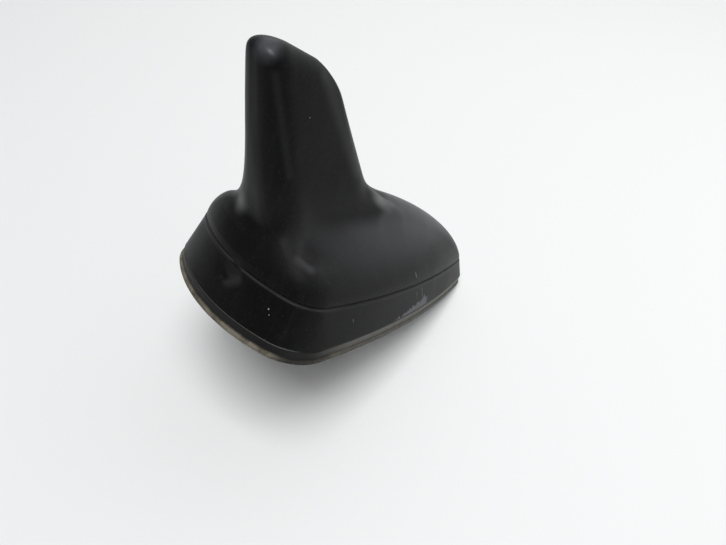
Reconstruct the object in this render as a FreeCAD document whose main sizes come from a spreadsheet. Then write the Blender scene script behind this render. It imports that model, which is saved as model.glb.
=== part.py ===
# Roof antenna with a fin: soft black cover, roof gasket, cast base plate, hollow fixing stud
# and the boards inside. Millimetres. X points to the nose, Y to the left, Z up.
# The origin is where the stud axis meets the roof.
import FreeCAD
import Part
import Sketcher
import math
import os

V = FreeCAD.Vector
doc = FreeCAD.newDocument("roof_antenna")

# Driving sizes. Everything below is bound to these cells or reads them.
SIZES = [
    ("base_front", 56, "nose of the gasket, ahead of the stud axis"),
    ("base_back", 56, "rear of the gasket, behind the stud axis"),
    ("base_wide", 57.4, "gasket width"),
    ("base_r_back", 45.2, "radius of the rear end"),
    ("base_r_corner", 14.4, "radius of the two rear corners"),
    ("base_r_side", 298, "radius of the long sides"),
    ("base_r_nose", 10.1, "radius of the nose"),
    ("skirt_z", 3.7, "lower edge of the cover above the roof"),
    ("skirt_in", 0.5, "cover edge inside the gasket edge"),
    ("groove_z", 12.6, "height of the groove line at the stud axis"),
    ("groove_fall", 0.06, "fall of the groove line per millimetre forward"),
    ("groove_in", 3.2, "lean of the skirt from its edge up to the groove"),
    ("groove_wide", 0.8, "groove width"),
    ("groove_deep", 0.6, "groove depth"),
    ("foot_back", 48.7, "rear of the fin foot behind the axis"),
    ("foot_front", 12, "front of the fin foot behind the axis"),
    ("foot_wide", 21, "width of the fin foot"),
    ("foot_r_back", 200, "radius of the rear face at the fin foot"),
    ("foot_r_corner", 8, "rear corner radius of the fin foot"),
    ("foot_r_side", 400, "radius of the fin sides at the foot"),
    ("foot_r_nose", 7, "leading edge radius at the foot"),
    ("foot_z", 37.9, "height of the fin foot carried on to the stud axis"),
    ("foot_rise", 0.204, "rise of the fin foot per millimetre forward"),
    ("foot_drop", 9, "drop of the fin foot at its sides, fading towards the rear"),
    ("tip_back", 62, "rear of the fin top behind the axis"),
    ("tip_front", 34.6, "front of the fin top behind the axis"),
    ("tip_wide", 13, "width of the fin top"),
    ("tip_r_back", 120, "radius of the rear face at the fin top"),
    ("tip_r_corner", 5, "rear corner radius of the fin top"),
    ("tip_r_side", 300, "radius of the fin sides at the top"),
    ("tip_r_nose", 3.5, "leading edge radius at the top"),
    ("tip_z", 65.6, "height of the fin side at its rear"),
    ("tip_fall", 0.2, "fall of the fin top per millimetre forward"),
    ("crown", 5.2, "height of the rounded crown on the fin"),
    ("crown_front", 12, "run of the rounded front shoulder"),
    ("crown_back", 8.7, "run of the rounded rear shoulder"),
    ("dome_nose", 1.432, "fullness of the dome towards the nose"),
    ("dome_rear", 1.4, "fullness of the dome towards the rear"),
    ("dome_flank", 1.8, "fullness of the dome towards the sides"),
    ("blend_nose", 71.6, "where the foot blend leaves the dome towards the nose, degrees"),
    ("blend_rear", 79, "the same towards the rear"),
    ("blend_flank", 57, "the same at the sides, where it is longer"),
    ("climb_nose", 0.173, "part of the fin height that the blend takes at the leading edge"),
    ("climb_rear", 0.13, "the same at the rear"),
    ("climb_flank", 0.34, "the same at the sides"),
    ("wall", 2.5, "cover wall"),
    ("plate_z", 3, "underside of the base plate"),
    ("plate_thick", 3, "base plate thickness"),
    ("plate_in", 4.8, "base plate edge inside the gasket edge"),
    ("mat_z", 1, "underside of the gasket mat between its lips"),
    ("lip_wide", 3.2, "width of the outer gasket lip"),
    ("lip_high", 1.3, "height of the outer gasket lip"),
    ("lip_out", 0.6, "lip ahead of the band above it"),
    ("lip_soft", 0.5, "rounding of the lip"),
    ("fit", 0.2, "loose fit between nested pieces"),
    ("stud_dia", 14, "thread diameter of the stud"),
    ("stud_down", 24, "stud length below the roof"),
    ("stud_bore", 9.5, "bore of the stud"),
    ("stud_bevel", 1, "bevel at the stud end"),
    ("collar", 15, "square collar across its flats"),
    ("collar_r", 1.5, "corner radius of the collar"),
    ("flange_dia", 22, "stud flange"),
    ("flange_thick", 2, "stud flange thickness"),
    ("ring_wide", 3, "width of the inner gasket lip"),
    ("plug_long", 30, "length of the cable bush"),
    ("lead_dia", 3, "cable hole in the bush"),
    ("lead_half", 2.3, "cable hole from the axis"),
    ("board_z", 9.5, "underside of the main board"),
    ("board_thick", 1.6, "main board thickness"),
    ("board_in", 9.5, "main board edge inside the gasket edge"),
    ("board_front", 36, "front edge of the main board"),
    ("boss_dia", 6, "screw boss in the cover"),
    ("pilot_dia", 2.2, "pilot hole in a boss"),
    ("pilot_deep", 7, "pilot depth above the plate"),
    ("screw_edge", 4.2, "cover screws from the plate edge"),
    ("back_in", 15, "rear cover screws from the rear of the gasket"),
    ("nose_in", 12, "front cover screw from the nose of the gasket"),
    ("back_x", "=-(base_back - back_in)", "rear cover screws"),
    ("mid_x", 8, "middle cover screws"),
    ("nose_x", "=base_front - nose_in", "front cover screw"),
    ("screw_dia", 2.6, "cover screw shank"),
    ("screw_head", 5, "cover screw head"),
    ("screw_head_h", 1.6, "cover screw head height"),
    ("screw_long", 8, "cover screw length under the head"),
    ("post_dia", 5.4, "board post on the plate"),
    ("post_in", 19, "rear board posts from the rear of the gasket"),
    ("post_back_x", "=-(base_back - post_in)", "rear board posts"),
    ("post_back_y", 11, "rear board posts off the middle"),
    ("post_front_x", 31.5, "front board posts"),
    ("post_front_y", 4.5, "front board posts off the middle"),
    ("bolt_dia", 2.5, "board screw shank"),
    ("bolt_head", 4.4, "board screw head"),
    ("bolt_head_h", 1.5, "board screw head height"),
    ("bolt_long", 5, "board screw length under the head"),
    ("fin_thick", 1, "fin board thickness"),
    ("fin_top_z", 58, "top of the fin board"),
    ("fin_gap", 3, "fin board inside the rear wall of the fin"),
    ("fin_front", 8.2, "fin board behind the leading edge at the foot"),
    ("tab_wide", 6, "tab of the fin board"),
    ("tab_down", 2.1, "tab length under the fin board"),
    ("tab_a", -36, "middle of the rear tab"),
    ("tab_b", -25, "middle of the front tab"),
    ("patch", 15, "side of the ceramic aerial"),
    ("patch_thick", 4, "thickness of the ceramic aerial"),
    ("patch_x", 12.5, "middle of the ceramic aerial"),
    ("pad_thick", 0.8, "bonding pad under it"),
    ("feed_dia", 1, "feed pin"),
    ("feed_head", 2.4, "feed pin head"),
    ("feed_x", 10.5, "feed pin position"),
    ("can", 14, "shield over the amplifier"),
    ("can_x", -5, "middle of the shield"),
    ("can_h", 3, "shield height"),
    ("can_wall", 0.4, "shield sheet"),
    ("chip", 3.2, "amplifier chip"),
    ("chip_h", 0.9, "chip height"),
    ("filter_x", 3, "filter chip length"),
    ("jack_dia", 4, "coaxial socket"),
    ("jack_h", 2.8, "socket height under the board"),
    ("jack_pin", 0.9, "socket bore"),
]
sheet = doc.addObject("Spreadsheet::Sheet", "sizes")
for row, (name, value, note) in enumerate(SIZES, 1):
    sheet.set("A%d" % row, name)
    sheet.set("B%d" % row, str(value))
    sheet.set("C%d" % row, note)
    sheet.setAlias("B%d" % row, name)
doc.recompute()


def size(name):
    return float(sheet.get(name))


def bind(obj, **links):
    for key, text in links.items():
        obj.setExpression(key.replace("__", "."), text)
    return obj


def named(kind, label, **links):
    obj = doc.addObject(kind, label)
    obj.Label = label
    return bind(obj, **links)


def block(label, x, y, z, long, wide, high):
    """Box given by the middle of its base, every value a sheet expression."""
    obj = named("Part::Box", label, Length=long, Width=wide, Height=high)
    bind(obj, Placement__Base__x="(%s) - (%s) / 2" % (x, long))
    bind(obj, Placement__Base__y="(%s) - (%s) / 2" % (y, wide))
    return bind(obj, Placement__Base__z=z)


def round_bar(label, x, y, z, dia, high):
    obj = named("Part::Cylinder", label, Radius="(%s) / 2" % dia, Height=high)
    return bind(obj, Placement__Base__x=x, Placement__Base__y=y, Placement__Base__z=z)


def join(label, shapes):
    obj = named("Part::MultiFuse", label)
    obj.Shapes = shapes
    return obj


def cut(label, base, tool):
    obj = named("Part::Cut", label)
    obj.Base = base
    obj.Tool = tool
    return obj


def common(label, shapes):
    obj = named("Part::MultiCommon", label)
    obj.Shapes = shapes
    return obj


# Outlines: nose arc, side arc, corner arc and rear arc, each tangent to the next,
# so an inset only takes the same amount off every radius.
def arcs(back, front, wide, r_back, r_corner, r_side, r_nose):
    rear = V(back + r_back, 0, 0)
    off = wide / 2 - r_corner
    corner = V(rear.x - math.sqrt((r_back - r_corner) ** 2 - off ** 2), off, 0)
    nose = V(front - r_nose, 0, 0)
    span = nose - corner
    one, two = r_side - r_corner, r_side - r_nose
    along = (one ** 2 - two ** 2 + span.Length ** 2) / (2 * span.Length)
    up = math.sqrt(one ** 2 - along ** 2)
    flat = span.normalize()
    side = corner + flat * along + V(flat.y, -flat.x, 0) * up
    turn = [math.atan2((nose - side).y, (nose - side).x)]
    turn.append(math.atan2((corner - side).y, (corner - side).x))
    turn.append(math.atan2((corner - rear).y, (corner - rear).x))
    steps = [(nose, r_nose, 0.0, turn[0], 4), (side, r_side, turn[0], turn[1], 7)]
    steps += [(corner, r_corner, turn[1], turn[2], 5), (rear, r_back, turn[2], math.pi, 3)]
    return steps


def loop(steps, inset):
    half = []
    for middle, radius, start, stop, count in steps:
        for i in range(count):
            a = start + (stop - start) * i / count
            half.append(middle + V(math.cos(a), math.sin(a), 0) * (radius - inset))
    middle, radius = steps[-1][:2]
    half.append(middle + V(inset - radius, 0, 0))
    return half + [V(p.x, -p.y, 0) for p in reversed(half[1:-1])]


def plan_wire(steps, inset):
    """The same outline as true arcs, for the flat pieces."""
    edges = []
    for middle, radius, start, stop, count in steps:
        r = radius - inset
        pts = []
        for a in (start, (start + stop) / 2, stop):
            pts.append(middle + V(math.cos(a), math.sin(a), 0) * r)
        edges.append(Part.Arc(*pts).toShape())
        edges.append(Part.Arc(*[V(p.x, -p.y, 0) for p in pts]).toShape())
    return Part.Wire(Part.__sortEdges__(edges))


def base_arcs():
    radii = [size("base_r_" + k) for k in ("back", "corner", "side", "nose")]
    return arcs(-size("base_back"), size("base_front"), size("base_wide"), *radii)


def fin_arcs(where):
    radii = [size(where + "_r_" + k) for k in ("back", "corner", "side", "nose")]
    return arcs(-size(where + "_back"), -size(where + "_front"), size(where + "_wide"), *radii)


def half_width(steps, x, inset):
    """From the middle line to the outline, moved in by the inset, at one place along it."""
    for middle, radius, start, stop, count in steps:
        r = radius - inset
        if middle.x + r * math.cos(stop) <= x <= middle.x + r * math.cos(start):
            return middle.y + math.sqrt(r ** 2 - (x - middle.x) ** 2)
    raise RuntimeError("no outline at %s" % x)


base = base_arcs()
edge_in = size("plate_in") + size("screw_edge")
for row, name in enumerate(("back", "mid"), len(SIZES) + 1):
    sheet.set("A%d" % row, name + "_y")
    sheet.set("B%d" % row, "%.4f" % half_width(base, size(name + "_x"), edge_in))
    sheet.set("C%d" % row, name + " cover screws off the middle, from the plate edge")
    sheet.setAlias("B%d" % row, name + "_y")
doc.recompute()


def clamp_knots(count, degree):
    inner = count - degree - 1
    marks = [i / (inner + 1) for i in range(inner + 2)]
    return marks, [degree + 1] + [1] * inner + [degree + 1]


def sheet_face(rows, degree):
    """One smooth closed skin pulled over the stations, which form its control net."""
    around = len(rows[0])
    poles = [[row[i] for row in rows] for i in range(around)]
    marks, repeats = clamp_knots(len(rows), degree)
    turns = [i / around for i in range(around + 1)]
    skin_surface = Part.BSplineSurface()
    skin_surface.buildFromPolesMultsKnots(
        poles, [1] * (around + 1), repeats, turns, marks, True, False, 3, degree)
    return skin_surface


def closed_body(surfaces):
    """Stack of skins with a flat cap at each end."""
    ends = [surfaces[0].vIso(0).toShape(), surfaces[-1].vIso(1).toShape()]
    faces = [f.toShape() for f in surfaces] + [Part.Face(Part.Wire([e])) for e in ends]
    shell = Part.makeShell(faces)
    shell.sewShape()
    body = Part.Solid(Part.Shell(shell.Faces))
    if body.Volume < 0:
        body.reverse()
    return body


def cover_body(inset, extra=0.0):
    """Outer body of the cover, or the same body with every face moved in by the inset."""
    edge = loop(base, size("skirt_in") + inset)
    rim = loop(base, size("skirt_in") + size("groove_in") + inset)
    foot = loop(fin_arcs("foot"), inset)
    top = loop(fin_arcs("tip"), inset)
    low, fall = size("groove_z"), size("groove_fall")
    rim = [V(p.x, p.y, low - fall * p.x) for p in rim]
    half, long = size("foot_wide") / 2, size("foot_back") - size("foot_front")
    sag = []
    for p in loop(fin_arcs("foot"), 0):
        ahead = (p.x + size("foot_back")) / long
        sag.append(size("foot_drop") * (p.y / half) ** 2 * ahead * (2 - ahead))
    high = [size("foot_z") + size("foot_rise") * p.x - inset for p in foot]
    foot = [V(p.x, p.y, z - down) for p, z, down in zip(foot, high, sag)]
    lift, drop, rear = size("tip_z") - inset, size("tip_fall"), -size("tip_back")
    top = [V(p.x, p.y, lift - drop * (p.x - rear)) for p in top]
    sections = []

    # how far each line of the skin runs lengthwise, above zero towards the nose
    ends = []
    for a, b in zip(rim, foot):
        along, across = a.x - b.x, a.y - b.y
        ends.append(math.copysign(along ** 2 / (along ** 2 + across ** 2), along))

    def between(name, share):
        far = name + ("_nose" if share > 0 else "_rear")
        return size(far) * abs(share) + size(name + "_flank") * (1 - abs(share))

    def dome(part):
        out = []
        for a, b, share in zip(rim, foot, ends):
            d = a - b
            n = between("dome", share)
            angle = math.radians(between("blend", share) * part)
            run = 1 - math.cos(angle) ** (2 / n)
            rise = math.sin(angle) ** (2 / n)
            out.append(V(a.x - d.x * run, a.y - d.y * run, a.z + (b.z - a.z) * rise))
        return out

    for step in range(9):
        sections.append(dome(step / 8))
    leave = sections[-1]
    arrive = [b + (t - b) * between("climb", share) for b, t, share in zip(foot, top, ends)]
    for s in (0.25, 0.5, 0.75):
        mix = zip(leave, foot, arrive)
        sections.append([a * (1 - s) ** 2 + b * 2 * s * (1 - s) + c * s ** 2 for a, b, c in mix])
    for step in range(7):
        sections.append([a + (t - a) * step / 6 for a, t in zip(arrive, top)])
    # the crown closes in on the middle line of the fin top
    back, front = rear + size("crown_back"), -size("tip_front") - size("crown_front")
    spine = [V(min(max(p.x, back), front), 0, 0) for p in top]
    for angle in (15, 30, 45, 60, 72, 82):
        c, s = math.cos(math.radians(angle)), math.sin(math.radians(angle))
        line = []
        for p, m, b in zip(top, spine, foot):
            lean = (p - b) * (size("crown") * s * c / (p.z - b.z))
            x = m.x + (p.x - m.x) * c + lean.x
            line.append(V(x, p.y * c + lean.y, lift - drop * (x - rear) + size("crown") * s))
        sections.append(line)
    low_edge = [V(p.x, p.y, size("skirt_z")) for p in edge]
    skins = [sheet_face([low_edge, rim], 1), sheet_face(sections, 3)]
    if extra:
        skins.insert(0, sheet_face([[p - V(0, 0, extra) for p in low_edge], low_edge], 1))
    return closed_body(skins)


def skin(label, inset, extra=0.0):
    obj = doc.addObject("Part::Feature", label)
    obj.Shape = cover_body(inset, extra)
    return obj


def slab(label, inset, z, high):
    """Flat piece with the base outline, moved in by the inset."""
    flat = doc.addObject("Part::Feature", label + "_outline")
    flat.Shape = Part.Face(plan_wire(base, inset))
    flat.Placement = FreeCAD.Placement(V(0, 0, 0), FreeCAD.Rotation())
    bind(flat, Placement__Base__z=z)
    obj = named("Part::Extrusion", label, LengthFwd=high)
    obj.Base = flat
    obj.DirMode = "Custom"
    obj.Dir = V(0, 0, 1)
    obj.Solid = True
    return obj


nodes = {}
SCREWS = [("sizes.back_x", "sizes.back_y"), ("sizes.back_x", "-sizes.back_y")]
SCREWS += [("sizes.mid_x", "sizes.mid_y"), ("sizes.mid_x", "-sizes.mid_y"), ("sizes.nose_x", "0")]
POSTS = [("sizes.post_back_x", "sizes.post_back_y"), ("sizes.post_back_x", "-sizes.post_back_y")]
POSTS += [("sizes.post_front_x", "sizes.post_front_y")]
POSTS += [("sizes.post_front_x", "-sizes.post_front_y")]
PLATE_TOP = "sizes.plate_z + sizes.plate_thick"
BOARD_TOP = "sizes.board_z + sizes.board_thick"

# Cover: outer body less the inset body, screw bosses inside, groove line around it.
outer = skin("cover_outer", 0)
core = skin("cover_core", size("groove_deep"))
hollow = skin("cover_hollow", size("wall"), 1.0)
shell = cut("cover_shell", outer, hollow)
pegs = []
for i, (x, y) in enumerate(SCREWS):
    pegs.append(round_bar("cover_peg_%d" % i, x, y, PLATE_TOP, "sizes.boss_dia", "30"))
bosses = common("cover_bosses", [join("cover_pegs", pegs), core])
pilots = []
for i, (x, y) in enumerate(SCREWS):
    pilot = round_bar("cover_pilot_%d" % i, x, y, PLATE_TOP, "sizes.pilot_dia", "sizes.pilot_deep")
    pilots.append(pilot)
band = named("Part::Box", "groove_band", Height="sizes.groove_wide", Width="2 * sizes.base_wide",
             Length="2 * (sizes.base_back + sizes.base_front)")
tilt = FreeCAD.Rotation(V(0, 1, 0), math.degrees(math.atan(size("groove_fall"))))
level = V(0, 0, size("groove_z"))
corner = V(-size("base_back") - size("base_front"), -size("base_wide"), -size("groove_wide") / 2)
band.Placement = FreeCAD.Placement(level, tilt) * FreeCAD.Placement(corner, FreeCAD.Rotation())
groove = cut("groove_ring", band, core)
filled = join("cover_filled", [shell, bosses])
drilled = cut("cover_drilled", filled, join("cover_pilots", pilots))
nodes["cover"] = cut("cover", drilled, groove)

# Roof gasket: mat, outer lip that also carries the cover edge, inner lip round the collar.
mat = slab("seal_mat", size("lip_out"), "sizes.mat_z", "sizes.plate_z - sizes.mat_z")
lip_bar = slab("seal_lip_bar", 0, "0", "sizes.lip_high")
doc.recompute()
soft_lip = named("Part::Fillet", "seal_lip_soft")
soft_lip.Base = lip_bar
rounds = []
for i, e in enumerate(lip_bar.Shape.Edges, 1):
    if e.BoundBox.ZLength < 0.01:
        rounds.append((i, size("lip_soft"), size("lip_soft")))
soft_lip.Edges = rounds
band_bar = slab("seal_band", size("lip_out"), "0.4", "sizes.skirt_z - 0.4")
outer_lip = join("seal_lip", [soft_lip, band_bar])
inner_cut = slab("seal_lip_cut", size("lip_wide"), "-1", "sizes.mat_z + 1")
plate_cut = slab("seal_plate_cut", size("plate_in") - size("fit"), "sizes.plate_z", "5")
rim_body = cut("seal_rim", cut("seal_rim_low", outer_lip, inner_cut), plate_cut)
lip_out = "sizes.collar * 1.4143 + 2 * sizes.ring_wide"
inner_lip = round_bar("seal_ring", "0", "0", "0", lip_out, "sizes.plate_z")
collar_hole = block("seal_hole", "0", "0", "-1", "sizes.collar + 2 * sizes.fit",
                    "sizes.collar + 2 * sizes.fit", "10")
nodes["roof_seal"] = cut("roof_seal", join("seal_body", [mat, rim_body, inner_lip]), collar_hole)

# Base plate: casting with board posts, screw recesses and a square hole for the stud.
flat = slab("plate_flat", size("plate_in"), "sizes.plate_z", "sizes.plate_thick")
parts = [flat]
drills = []
for i, (x, y) in enumerate(POSTS):
    high = "sizes.board_z - (%s)" % PLATE_TOP
    parts.append(round_bar("plate_post_%d" % i, x, y, PLATE_TOP, "sizes.post_dia", high))
    deep = "sizes.bolt_long - sizes.board_thick + 0.4"
    drills.append(round_bar("plate_tap_%d" % i, x, y, "sizes.board_z - (%s)" % deep,
                            "sizes.bolt_dia", "%s + 1" % deep))
for i, (x, y) in enumerate(SCREWS):
    drills.append(round_bar("plate_way_%d" % i, x, y, "0", "sizes.screw_dia + sizes.fit", "10"))
    drills.append(round_bar("plate_sink_%d" % i, x, y, "0", "sizes.screw_head + 2 * sizes.fit",
                            "sizes.plate_z + sizes.screw_head_h"))
rib = "sizes.post_front_x - sizes.flange_dia / 2 - 2"
parts.append(block("plate_rib_front", "sizes.flange_dia / 2 + 2 + (%s) / 2" % rib, "0", PLATE_TOP,
                   rib, "1.6", "1.5"))
parts.append(block("plate_rib_back", "-24", "0", PLATE_TOP, "22", "1.6", "1.5"))
drills.append(block("plate_square", "0", "0", "0", "sizes.collar + sizes.fit",
                    "sizes.collar + sizes.fit", "10"))
nodes["base_plate"] = cut("base_plate", join("plate_body", parts), join("plate_drills", drills))


# Fixing stud: flange on the plate, square collar through it, bored thread below the roof.
def sketch(body, label, z):
    sk = body.newObject("Sketcher::SketchObject", label)
    sk.AttachmentSupport = [(body.Origin.OriginFeatures[3], "")]
    sk.MapMode = "FlatFace"
    sk.setExpression("AttachmentOffset.Base.z", z)
    return sk


def circle(sk, dia):
    n = sk.addGeometry(Part.Circle(V(0, 0, 0), V(0, 0, 1), 5), False)
    sk.addConstraint(Sketcher.Constraint("Coincident", n, 3, -1, 1))
    c = sk.addConstraint(Sketcher.Constraint("Diameter", n, 10))
    sk.setExpression("Constraints[%d]" % c, dia)


def square(sk, side):
    h = size("collar") / 2
    corners = [V(-h, -h, 0), V(h, -h, 0), V(h, h, 0), V(-h, h, 0)]
    for i in range(4):
        sk.addGeometry(Part.LineSegment(corners[i], corners[(i + 1) % 4]), False)
    for i in range(4):
        sk.addConstraint(Sketcher.Constraint("Coincident", i, 2, (i + 1) % 4, 1))
    for i, way in enumerate(("Horizontal", "Vertical", "Horizontal", "Vertical")):
        sk.addConstraint(Sketcher.Constraint(way, i))
    sk.addConstraint(Sketcher.Constraint("Symmetric", 0, 1, 2, 1, -1, 1))
    for key, (one, two) in (("DistanceX", (0, 0)), ("DistanceY", (1, 1))):
        c = sk.addConstraint(Sketcher.Constraint(key, one, 1, two, 2, 2 * h))
        sk.setExpression("Constraints[%d]" % c, side)


def pad(body, label, profile, length, down=False):
    obj = body.newObject("PartDesign::Pad", label)
    obj.Profile = profile
    obj.Reversed = down
    obj.setExpression("Length", length)
    body.Tip = obj
    return obj


stud = doc.addObject("PartDesign::Body", "mounting_stud")
stud.Label = "mounting_stud"
s1 = sketch(stud, "collar_square", "0")
square(s1, "sizes.collar")
p1 = pad(stud, "collar_pad", s1, PLATE_TOP)
doc.recompute()
upright = []
for i, e in enumerate(p1.Shape.Edges, 1):
    if abs(e.Vertexes[0].Z - e.Vertexes[-1].Z) > 1:
        upright.append("Edge%d" % i)
soft = stud.newObject("PartDesign::Fillet", "collar_corners")
soft.Base = (p1, upright)
soft.setExpression("Radius", "sizes.collar_r")
stud.Tip = soft
s2 = sketch(stud, "flange_circle", PLATE_TOP)
circle(s2, "sizes.flange_dia")
pad(stud, "flange_pad", s2, "sizes.flange_thick")
s3 = sketch(stud, "thread_circle", "0")
circle(s3, "sizes.stud_dia")
p3 = pad(stud, "thread_pad", s3, "sizes.stud_down", True)
doc.recompute()
low = []
for i, e in enumerate(p3.Shape.Edges, 1):
    if abs(e.BoundBox.ZMax + size("stud_down")) < 0.01:
        low.append("Edge%d" % i)
bevel = stud.newObject("PartDesign::Chamfer", "thread_bevel")
bevel.Base = (p3, low)
bevel.setExpression("Size", "sizes.stud_bevel")
stud.Tip = bevel
s4 = sketch(stud, "bore_circle", "%s + sizes.flange_thick" % PLATE_TOP)
circle(s4, "sizes.stud_bore")
bore = stud.newObject("PartDesign::Pocket", "stud_bore_pocket")
bore.Profile = s4
bore.Type = "ThroughAll"
stud.Tip = bore
nodes["mounting_stud"] = stud

# Cable bush in the lower end of the stud.
bush = round_bar("bush_body", "0", "0", "-sizes.stud_down", "sizes.stud_bore", "sizes.plug_long")
ways = []
for i, side in enumerate(("", "-")):
    ways.append(round_bar("bush_way_%d" % i, "%ssizes.lead_half" % side, "0",
                          "-sizes.stud_down - 1", "sizes.lead_dia", "sizes.plug_long + 2"))
nodes["cable_bush"] = cut("cable_bush", bush, join("bush_ways", ways))

# Main board, cut back for the nose boss and notched round the other bosses.
blank = slab("board_blank", size("board_in"), "sizes.board_z", "sizes.board_thick")
cuts = [block("board_nose", "sizes.board_front + 20", "0", "sizes.board_z - 1", "40", "60", "5")]
for i, (x, y) in enumerate(SCREWS[:4]):
    cuts.append(round_bar("board_notch_%d" % i, x, y, "sizes.board_z - 1",
                          "sizes.boss_dia + 6 * sizes.fit", "5"))
for i, (x, y) in enumerate(POSTS):
    cuts.append(round_bar("board_way_%d" % i, x, y, "sizes.board_z - 1",
                          "sizes.bolt_dia + sizes.fit", "5"))
for i, x in enumerate(("sizes.tab_a", "sizes.tab_b")):
    cuts.append(block("board_slot_%d" % i, x, "0", "sizes.board_z - 1",
                      "sizes.tab_wide + sizes.fit", "sizes.fin_thick + sizes.fit", "5"))
cuts.append(round_bar("board_feed", "sizes.feed_x", "0", "sizes.board_z - 1",
                      "sizes.feed_dia + sizes.fit", "5"))
nodes["main_board"] = cut("main_board", blank, join("board_cuts", cuts))

# Fin board: upright panel that follows the slope of the fin, two tabs through the main board.
low, high = size("board_z") + size("board_thick"), size("fin_top_z")
foot = size("foot_z") - size("foot_rise") * size("foot_back")
reach = (size("tip_back") - size("foot_back")) / (size("tip_z") - foot)
rear_low = -size("foot_back") + size("wall") + size("fin_gap")
rear_high = rear_low - reach * (high - foot)
knee = size("foot_z") - size("foot_rise") * size("foot_front")
shoulder = size("tip_z") - size("tip_fall") * (size("tip_back") - size("tip_front"))
lead = (size("tip_front") - size("foot_front")) / (shoulder - knee)
front_low = -size("foot_front") - size("fin_front")
front_high = front_low - lead * (high - knee)
profile = [(rear_low + 2, low), (front_low, low), (front_low, knee), (front_high, high)]
profile += [(rear_high, high), (rear_low, foot)]
corners = [V(x, 0, z) for x, z in profile]
panel_face = doc.addObject("Part::Feature", "fin_outline")
panel_face.Shape = Part.Face(Part.makePolygon(corners + corners[:1]))
bind(panel_face, Placement__Base__y="-sizes.fin_thick / 2")
panel = named("Part::Extrusion", "fin_panel", LengthFwd="sizes.fin_thick")
panel.Base = panel_face
panel.DirMode = "Custom"
panel.Dir = V(0, 1, 0)
panel.Solid = True
tabs = [panel]
for i, x in enumerate(("sizes.tab_a", "sizes.tab_b")):
    tabs.append(block("fin_tab_%d" % i, x, "0", "%s - sizes.tab_down" % BOARD_TOP,
                      "sizes.tab_wide", "sizes.fin_thick", "sizes.tab_down + 1"))
nodes["fin_board"] = join("fin_board", tabs)

# Ceramic aerial, its bonding pad and feed pin.
pad_z = "%s + sizes.pad_thick" % BOARD_TOP
way = "sizes.feed_dia + sizes.fit"
tape = block("pad_body", "sizes.patch_x", "0", BOARD_TOP, "sizes.patch", "sizes.patch",
             "sizes.pad_thick")
nodes["patch_pad"] = cut("patch_pad", tape,
                         round_bar("pad_way", "sizes.feed_x", "0", BOARD_TOP, way, "2"))
tile = block("patch_body", "sizes.patch_x", "0", pad_z, "sizes.patch", "sizes.patch",
             "sizes.patch_thick")
nodes["patch_aerial"] = cut("patch_aerial", tile,
                            round_bar("patch_way", "sizes.feed_x", "0", pad_z, way, "9"))
long = "sizes.board_thick + sizes.pad_thick + sizes.patch_thick + 0.4"
pin = round_bar("feed_shank", "sizes.feed_x", "0", "sizes.board_z - 0.4", "sizes.feed_dia", long)
head = round_bar("feed_cap", "sizes.feed_x", "0", "%s + sizes.patch_thick" % pad_z,
                 "sizes.feed_head", "0.3")
nodes["feed_pin"] = join("feed_pin", [pin, head])

# Amplifier with its two-piece shield, and the coaxial sockets over the stud bore.
inside = "sizes.can - 2 * sizes.can_wall"
fence = block("fence_body", "sizes.can_x", "0", BOARD_TOP, inside, inside, "sizes.can_h - sizes.can_wall")
gap = "sizes.can - 4 * sizes.can_wall"
nodes["shield_frame"] = cut("shield_frame", fence,
                            block("fence_gap", "sizes.can_x", "0", BOARD_TOP, gap, gap, "9"))
lid = block("lid_body", "sizes.can_x", "0", BOARD_TOP, "sizes.can", "sizes.can", "sizes.can_h")
lid_gap = block("lid_gap", "sizes.can_x", "0", BOARD_TOP, inside, inside,
                "sizes.can_h - sizes.can_wall")
nodes["shield_lid"] = cut("shield_lid", lid, lid_gap)
nodes["amplifier_chip"] = block("amplifier_chip", "sizes.can_x - 2.5", "0", BOARD_TOP, "sizes.chip",
                                "sizes.chip", "sizes.chip_h")
nodes["filter_chip"] = block("filter_chip", "sizes.can_x + 3", "0", BOARD_TOP, "sizes.filter_x",
                             "sizes.filter_x * 0.8", "sizes.chip_h")
for label, side in (("phone_socket", "-"), ("position_socket", "")):
    x = "%ssizes.lead_half" % side
    jack = round_bar(label + "_body", x, "0", "sizes.board_z - sizes.jack_h", "sizes.jack_dia",
                     "sizes.jack_h")
    nodes[label] = cut(label, jack, round_bar(label + "_bore", x, "0",
                                              "sizes.board_z - sizes.jack_h", "sizes.jack_pin", "2"))


# Screws: a shank and a round head with a cross recess, repeated at every place.
def screws(label, places, top_z, dia, head_dia, head_h, length, up):
    bodies = []
    slots = []
    for i, (x, y) in enumerate(places):
        shank_z = top_z if up else "%s - %s" % (top_z, length)
        head_z = "%s - %s" % (top_z, head_h) if up else top_z
        slot_z = "%s - 0.1" % head_z if up else "%s + %s / 2" % (head_z, head_h)
        bodies.append(round_bar("%s_shank_%d" % (label, i), x, y, shank_z, dia, length))
        bodies.append(round_bar("%s_head_%d" % (label, i), x, y, head_z, head_dia, head_h))
        for k, (a, b) in enumerate((("0.6", "2.4"), ("2.4", "0.6"))):
            slots.append(block("%s_slot_%d_%d" % (label, i, k), x, y, slot_z, a, b,
                               "%s / 2 + 0.1" % head_h))
    return cut(label, join(label + "_bodies", bodies), join(label + "_slots", slots))


nodes["cover_screws"] = screws("cover_screws", SCREWS, "sizes.plate_z + sizes.screw_head_h",
                               "sizes.pilot_dia", "sizes.screw_head", "sizes.screw_head_h",
                               "sizes.screw_long", True)
nodes["board_screws"] = screws("board_screws", POSTS, BOARD_TOP, "sizes.bolt_dia",
                               "sizes.bolt_head", "sizes.bolt_head_h", "sizes.bolt_long", False)

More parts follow.
